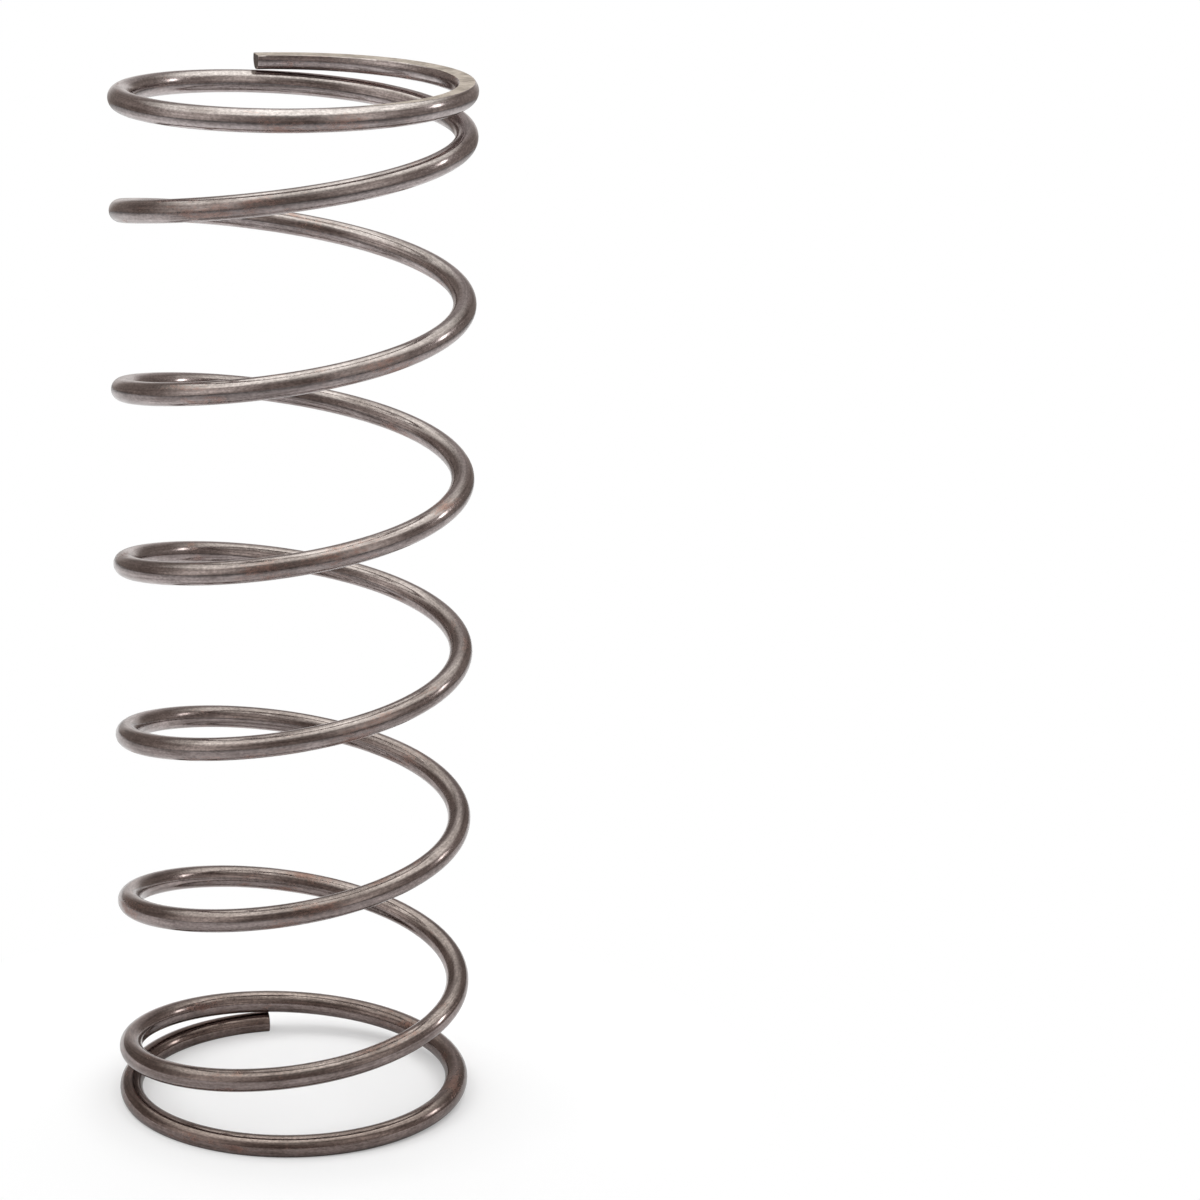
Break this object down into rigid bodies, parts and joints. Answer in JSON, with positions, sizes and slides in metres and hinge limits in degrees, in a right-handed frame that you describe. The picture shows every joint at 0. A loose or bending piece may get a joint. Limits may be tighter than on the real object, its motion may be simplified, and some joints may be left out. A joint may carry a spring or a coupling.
{
  "type": "shock spring",
  "caption": "Long open-wound compression spring of round steel wire, with closed ends ground flat, that slides over a shock absorber's body.",
  "frame": {"origin": "centre of the lower ground face, on the coil's axis", "axes": "+Z along the coil's axis, from the lower ground face to the upper one. -Y is the side that the picture shows, with +X to the right, and both cut ends lie on the +Y side."},
  "size_m": [0.029, 0.029, 0.085],
  "materials": {
    "wire": "bare drawn spring wire, satin, brownish grey, with lighter ground end faces"
  },
  "bodies": {
    "root": {"spring": "wire"}
  },
  "joints": []
}
